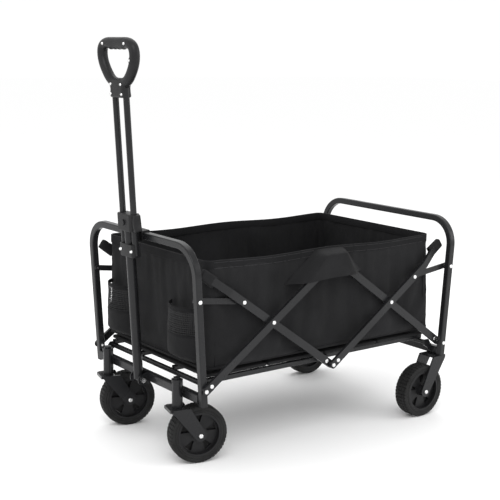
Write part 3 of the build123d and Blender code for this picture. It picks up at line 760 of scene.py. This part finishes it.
print("tyres")
wheelWords = ("front_near", "front_far", "rear_near", "rear_far")
tyreSettings = {
    "steps": 46,
    "profile": [  # radius and half width in millimetres
        (57.2, 19.6), (58.6, 20.8), (62, 21), (63, 19.9), (64.2, 19.9),
        (65.4, 20.8), (68, 20.8), (70.6, 19.6), (72.3, 14),
    ],
    "treadRows": 3,
    "knobFrom": 0.97,        # share of the tread's radius
    "knobHalfWidth": mm(18),
    "knobInset": mm(1.3),
    "knobHeight": mm(2.6),
    "turn": radians(-14),    # the casters stand a little turned
}


def tyreMesh():  # half a section is listed, the other half mirrors it
    profile = [(mm(r), -mm(y)) for r, y in tyreSettings["profile"]]
    rows = tyreSettings["treadRows"]
    topRadius, edgeY = profile[-1]
    profile += [(topRadius, edgeY * (1 - 2 * i / rows)) for i in range(1, rows)]
    profile += [(mm(r), mm(y)) for r, y in reversed(tyreSettings["profile"])]
    deselectAll()
    bpy.ops.mesh.primitive_circle_add(vertices=len(profile), radius=1)
    piece = bpy.context.object
    piece.name = "tyreMaster"
    for vertex, (r, y) in zip(piece.data.vertices, profile):
        vertex.co = (r, y, 0)
    editMode("VERT")
    bpy.ops.mesh.spin(steps=tyreSettings["steps"], angle=2 * pi, center=(0, 0, 0), axis=(0, 1, 0))
    bpy.ops.mesh.select_all(action="SELECT")
    bpy.ops.mesh.remove_doubles(threshold=mm(0.05))
    bpy.ops.mesh.normals_make_consistent(inside=False)
    step = 2 * pi / tyreSettings["steps"]

    def isKnob(centre, normal):
        if hypot(centre.x, centre.z) < topRadius * tyreSettings["knobFrom"]:
            return False
        if abs(centre.y) > tyreSettings["knobHalfWidth"]:
            return False
        row = int((centre.y + abs(edgeY)) / (2 * abs(edgeY) / rows))
        column = int((atan2(centre.z, centre.x) + pi) / step)
        return (column + row) % 2 == 0

    selectWhere(piece, isKnob)
    inset, height = tyreSettings["knobInset"], tyreSettings["knobHeight"]
    bpy.ops.mesh.inset(use_individual=True, thickness=inset, depth=height)
    objectMode()
    return piece


master = tyreMesh()
for word in wheelWords:
    tyre = copyPiece(master, "tyre" + word.title().replace("_", ""))
    hubLow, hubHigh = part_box(f"hub_{word}")
    tyre.location = (hubLow + hubHigh) / 2
    tyre.rotation_euler = (0, 0, tyreSettings["turn"] if "front" in word else 0)
    applyPlace(tyre)
    paint(tyre, rubber)
    smoothByAngle(tyre, 30)
    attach(tyre, f"wheel_{word}")
    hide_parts(f"tyre_{word}")
bpy.data.objects.remove(master)

print("grip")
gripSettings = {
    "tilt": radians(3.8),
    "topGap": mm(0.9),
    "path": [  # half the loop, across and down in millimetres
        (0, 14), (28, 14), (54, 14), (74, 23), (78, 42), (74, 61),
        (64, 78), (51, 94), (36, 107), (16, 112), (0, 112),
    ],
    "radius": mm(13.2),
    "neck": [(41, 102), (34, 113), (30.5, 124), (31, 136), (34, 147)],
    "neckDepth": mm(26),
    "topBar": {"halfLength": 46, "down": 15, "halfHeight": 13.5, "halfDepth": mm(12.4)},
    "bossRadius": mm(5.4),
    "bossLength": mm(12),
    "bossOut": mm(7.4),
    "bumps": [-30, -10, 10, 30],
    "bumpRadius": mm(9),
    "bumpDown": 22.5,
    "voxel": mm(1.6),
    "smooth": 6,
}
gripLow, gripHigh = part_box("grip")
tilt = gripSettings["tilt"]
gripUp = Vector((-sin(tilt), 0, cos(tilt)))
gripOut = Vector((cos(tilt), 0, sin(tilt)))
gripTopX = (gripLow.x + gripHigh.x) / 2 - sin(tilt) * (gripHigh.z - gripLow.z) / 2
gripTop = Vector((gripTopX, 0, gripHigh.z - gripSettings["topGap"]))


def gripPlace(across, down, out=0.0):
    return gripTop - gripUp * mm(down) + Vector((0, mm(across), 0)) + gripOut * out


def looseCentres(node, spread):  # middles of a node's separate small solids
    centres = []
    for vertex in node.data.vertices:
        for entry in centres:
            if (vertex.co - entry[0]).length < spread:
                entry[1].append(vertex.co)
                break
        else:
            centres.append((vertex.co.copy(), [vertex.co]))
    return [sum(found, Vector()) / len(found) for _, found in centres]


halfLoop = gripSettings["path"]
loop = halfLoop + [(-across, down) for across, down in reversed(halfLoop[1:-1])]
loopPoints = [gripPlace(across, down) for across, down in loop]
gripParts = [tubeThrough("gripLoop", loopPoints, gripSettings["radius"], True)]
neckRows = gripSettings["neck"]
neck = addBox("gripNeck", (-1, -1, 0), (1, 1, 1))
cutEvery(neck, 2, 1 / (len(neckRows) - 1))
for vertex in neck.data.vertices:
    row = neckRows[min(len(neckRows) - 1, round(vertex.co.z * (len(neckRows) - 1)))]
    vertex.co = gripPlace(row[0] * vertex.co.y, row[1], gripSettings["neckDepth"] / 2 * vertex.co.x)
turnFacesOut(neck)
addModifier(neck, "BEVEL", width=mm(5), segments=3, limit_method="ANGLE")
gripParts.append(neck)
topBar = addBox("gripTopBar", (-1, -1, -1), (1, 1, 1))
barSizes = gripSettings["topBar"]
for vertex in topBar.data.vertices:
    place = vertex.co
    down = barSizes["down"] - barSizes["halfHeight"] * place.z
    vertex.co = gripPlace(barSizes["halfLength"] * place.y, down, barSizes["halfDepth"] * place.x)
turnFacesOut(topBar)
addModifier(topBar, "BEVEL", width=mm(10), segments=4, limit_method="ANGLE")
gripParts.append(topBar)
for across in gripSettings["bumps"]:  # finger bumps under the top bar
    deselectAll()
    bpy.ops.mesh.primitive_uv_sphere_add(segments=16, ring_count=10, radius=gripSettings["bumpRadius"])
    bump = bpy.context.object
    bump.location = gripPlace(across, gripSettings["bumpDown"])
    bump.scale = (1.15, 1.0, 1.0)
    applyPlace(bump)
    gripParts.append(bump)
for centre in looseCentres(nodes["grip_screws"], mm(8)):  # a flat boss under each screw
    deselectAll()
    bpy.ops.mesh.primitive_cylinder_add(
        vertices=20, radius=gripSettings["bossRadius"], depth=gripSettings["bossLength"])
    boss = bpy.context.object
    boss.rotation_euler = (0, pi / 2 - tilt, 0)
    boss.location = centre + gripOut * gripSettings["bossOut"]
    applyPlace(boss)
    gripParts.append(boss)
grip = joinPieces("gripCover", gripParts)
addModifier(grip, "REMESH", mode="VOXEL", voxel_size=gripSettings["voxel"])
addModifier(grip, "SMOOTH", factor=0.5, iterations=gripSettings["smooth"])
paint(grip, plastic)
smoothByAngle(grip, 80)
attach(grip, "handle_slide")
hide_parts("grip")

# painted shade: dark plates fill the hub's windows in place of the shade inside the hub and behind it
print("painted hub window shade")
windowShadeSettings = {
    "inner": mm(23.5),
    "outer": mm(46.6),
    "innerHalf": mm(2.4),     # half widths of a painted shade plate at its two ends
    "outerHalf": mm(10.2),
    "thickness": mm(3),
    "count": 5,
}
deselectAll()
bpy.ops.mesh.primitive_cube_add(size=1)
shadeWedge = bpy.context.object
for vertex in shadeWedge.data.vertices:
    end = "outer" if vertex.co.x > 0 else "inner"
    width = 2 * windowShadeSettings[f"{end}Half"]
    vertex.co = (windowShadeSettings[end], windowShadeSettings["thickness"] * vertex.co.y, width * vertex.co.z)


def windowAngles(hub, centre, turn):  # where the hub's windows sit, from where the web has no faces
    back = Matrix.Rotation(-turn, 4, "Z")
    sums = Vector((0, 0))
    for polygon in hub.data.polygons:
        place = back @ (polygon.center - centre)
        normal = back @ polygon.normal
        radius = hypot(place.x, place.z)
        if windowShadeSettings["inner"] < radius < windowShadeSettings["outer"] and abs(normal.y) < 0.2:
            angle = atan2(place.z, place.x) * windowShadeSettings["count"]
            sums += Vector((cos(angle), sin(angle))) * polygon.area
    return atan2(sums.y, sums.x) / windowShadeSettings["count"]


for word in wheelWords:
    hubLow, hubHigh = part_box(f"hub_{word}")
    centre = (hubLow + hubHigh) / 2
    turn = tyreSettings["turn"] if "front" in word else 0
    first = windowAngles(nodes[f"hub_{word}"], centre, turn)
    shadePlates = []
    for i in range(windowShadeSettings["count"]):
        shadePlate = copyPiece(shadeWedge, f"windowShadePlate{i}")
        angle = first + 2 * pi * i / windowShadeSettings["count"]
        upright = Matrix.Translation(centre) @ Matrix.Rotation(turn, 4, "Z")
        shadePlate.matrix_world = upright @ Matrix.Rotation(-angle, 4, "Y")
        shadePlates.append(shadePlate)
    joined = joinPieces("windowShadePlates" + word.title().replace("_", ""), shadePlates)
    addModifier(joined, "BEVEL", width=mm(0.6), segments=2)
    # the plates are painted shade, dark where the hub's windows fall into shade
    paint(joined, rubber)
    smoothByAngle(joined, 40)
    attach(joined, f"wheel_{word}")
bpy.data.objects.remove(shadeWedge)

print("lock lever")
leverSettings = {"length": mm(42), "width": mm(22), "thickness": mm(9), "gap": mm(0.2), "row": 0.16}
collarLow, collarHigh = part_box("handle_collar")
collarMiddle = (collarLow + collarHigh) / 2
lever = addBox("lockLever", (-0.5, 0, -0.5), (0.5, 1, 0.5))
cutEvery(lever, 2, leverSettings["row"])
for vertex in lever.data.vertices:
    along = vertex.co.z
    flare = 1 + 0.5 * smoothStep(-along * 2)
    out = leverSettings["width"] * vertex.co.x * (1.05 - 0.3 * abs(along))
    y = collarLow.y - leverSettings["gap"] - leverSettings["thickness"] * vertex.co.y * flare
    vertex.co = collarMiddle + gripUp * (leverSettings["length"] * along) + gripOut * out
    vertex.co.y = y
turnFacesOut(lever)
addModifier(lever, "BEVEL", width=mm(2.2), segments=3, limit_method="ANGLE")
paint(lever, plastic)
smoothByAngle(lever, 50)
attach(lever, "handle")

print("corner loops")
loopSettings = {
    "length": mm(40),
    "room": mm(1.2),
    "wall": mm(1.6),
    "past": mm(4),
    "tipSlope": 144 / 204,    # rise over run of the bars' bent tips
    "endReach": mm(20),
}


def cornerLoop(name, barName, front):  # cloth cap over a bar's bent tip
    bar = nodes[barName]
    tip = min(bar.data.vertices, key=lambda v: v.co.x * (1 if front else -1)).co
    near = [v.co for v in bar.data.vertices if (v.co - tip).length < loopSettings["length"] * 1.3]
    middle = Vector([(min(p[i] for p in near) + max(p[i] for p in near)) / 2 for i in range(3)])
    lean = Vector((-1 if front else 1, 0, loopSettings["tipSlope"])).normalized()
    across = Vector((-lean.z, 0, lean.x))
    reach = [(p - middle).dot(lean) for p in near]
    wide = max(abs((p - middle).dot(across)) for p in near) + loopSettings["room"]
    yLow = min(p.y for p in near) - loopSettings["room"]
    yHigh = max(p.y for p in near) + loopSettings["room"]
    start, end = max(reach) - loopSettings["length"], max(reach) + loopSettings["past"]
    piece = addBox(name, (0, -1, -1), (1, 1, 1))
    selectWhere(piece, lambda centre, normal: normal.x < -0.5)
    bpy.ops.mesh.delete(type="ONLY_FACE")
    objectMode()
    cutEvery(piece, 0, 0.2)
    cutEvery(piece, 1, 0.5)
    cutEvery(piece, 2, 0.4)
    for vertex in piece.data.vertices:
        u, v, w = vertex.co
        flare = 1 + 0.12 * (1 - u) + 0.04 * noise.noise(Vector((u * 4, v * 3, w * 3)))
        place = middle + lean * (start + (end - start) * u) + across * (wide * w * flare)
        place.y = (yLow + yHigh) / 2 + (yHigh - yLow) / 2 * v
        vertex.co = place
    turnFacesOut(piece)
    addModifier(piece, "BEVEL", width=mm(4), segments=3, limit_method="ANGLE")
    addModifier(piece, "SOLIDIFY", thickness=loopSettings["wall"], offset=1)
    paint(piece, polyester)
    smoothByAngle(piece, 60)
    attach(piece, bodyOf[barName])


bodies = frame["record"]["behaviour"]["bodies"]
bodyOf = {node: body for body, members in bodies.items() for node in members}


def topAtEnd(barName, front):  # the bar's highest point over the basket's end
    points = [vertex.co for vertex in nodes[barName].data.vertices]
    if front:
        return max(p.z for p in points if p.x < low.x + loopSettings["endReach"])
    return max(p.z for p in points if p.x > high.x - loopSettings["endReach"])


for end in ("front", "rear"):
    for side in ("near", "far"):
        front = end == "front"
        bars = [n for n in nodes if n.startswith(end) and n.endswith(f"_bar_{side}")]
        barName = max(bars, key=lambda n: topAtEnd(n, front))
        cornerLoop(f"cornerLoop{end.title()}{side.title()}", barName, front)

for piece in [shell, hem, seam, *pipings, *sleeves, *stitches]:
    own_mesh(piece)

print("camera, floor and lights")
cameraSettings = {
    "place": (-1.814, -2.331, 1.026),
    "yaw": 37.17,
    "pitch": 10.52,
    "roll": 0.92,
    "lens": 78.1,
    "sensor": 36,
}
cameraData = bpy.data.cameras.new("camera")
cameraData.lens = cameraSettings["lens"]
cameraData.sensor_width = cameraSettings["sensor"]
camera = bpy.data.objects.new("camera", cameraData)
bpy.context.scene.collection.objects.link(camera)
camera.location = cameraSettings["place"]
camera.rotation_mode = "QUATERNION"
heading = Quaternion((0, 0, 1), -radians(cameraSettings["yaw"]))
level = heading @ Quaternion((1, 0, 0), radians(90 - cameraSettings["pitch"]))
camera.rotation_quaternion = level @ Quaternion((0, 0, 1), radians(cameraSettings["roll"]))
bpy.context.scene.camera = camera

deselectAll()
bpy.ops.mesh.primitive_plane_add(size=60, location=(0, 0, 0))
floor = bpy.context.object
floor.name = "floor"
floorPaint = newMaterial("floorPaint", (0.985, 0.985, 0.985), 0.95, specular=0.0)
floor.data.materials.append(floorPaint)

lightTarget = Vector((0, 0, 0.35))
lightSettings = {
    "key": {"place": (-2.2, -2.4, 3.4), "size": 2.6, "power": 60},
    "fill": {"place": (-3.6, 0.6, 1.8), "size": 2.5, "power": 12},
    "side": {"place": (2.6, -2.6, 1.8), "size": 2.2, "power": 24},
    "top": {"place": (0.6, 1.4, 3.2), "size": 3.0, "power": 26},
}
for lightName, settings in lightSettings.items():
    data = bpy.data.lights.new(lightName, "AREA")
    data.energy = settings["power"]
    data.shape = "DISK"
    data.size = settings["size"]
    lamp = bpy.data.objects.new(lightName, data)
    bpy.context.scene.collection.objects.link(lamp)
    lamp.location = settings["place"]
    lamp.rotation_mode = "QUATERNION"
    lamp.rotation_quaternion = (lightTarget - lamp.location).to_track_quat("-Z", "Y")
world = bpy.data.worlds.new("studio")
bpy.context.scene.world = world
world.use_nodes = True
background = world.node_tree.nodes["Background"]
background.inputs["Color"].default_value = (1, 1, 1, 1)
background.inputs["Strength"].default_value = 1.01
bpy.context.scene.view_settings.view_transform = "Standard"
